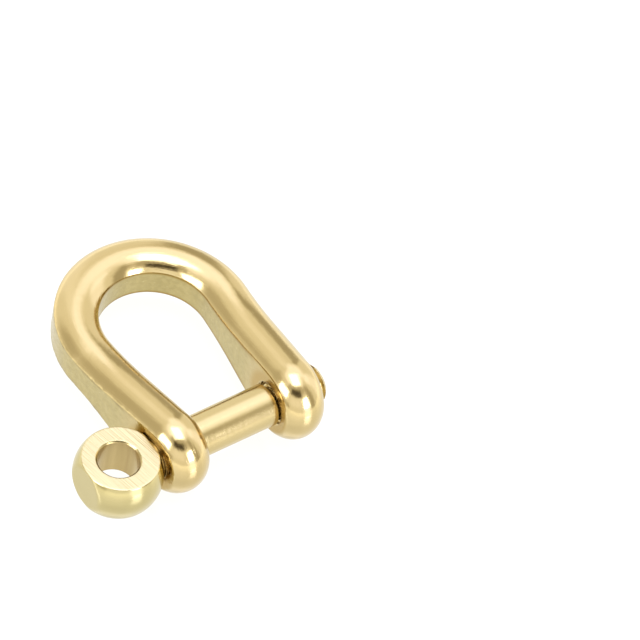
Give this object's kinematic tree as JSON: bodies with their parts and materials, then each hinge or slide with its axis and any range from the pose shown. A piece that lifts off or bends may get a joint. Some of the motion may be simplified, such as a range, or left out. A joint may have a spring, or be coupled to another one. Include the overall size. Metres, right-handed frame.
{
  "type": "bow shackle",
  "caption": "Bow shackle: a forged U of flat-sided bar with two pierced lugs, closed by a screw pin with a ball-shaped eye head.",
  "frame": {"origin": "on the pin's axis, midway between the two lugs", "axes": "+X along the pin towards its threaded end, +Y from the lugs to the crown of the bow, +Z normal to the flat of the bow"},
  "size_m": [0.0311, 0.0319, 0.0102],
  "materials": {
    "bow_gold": "polished pale gold plating, satin on the flat inner and outer walls",
    "pin_gold": "polished pale gold plating, milled grain on the head's flats, fine turned grain on the shank"
  },
  "bodies": {
    "bow": {"bow": "bow_gold"},
    "pin": {"screw_pin": "pin_gold"}
  },
  "joints": [
    {"name": "pin_slide", "type": "slide", "parent": "bow", "child": "pin", "axis": [-1, 0, 0], "range_m": [0, 0.024]}
  ]
}
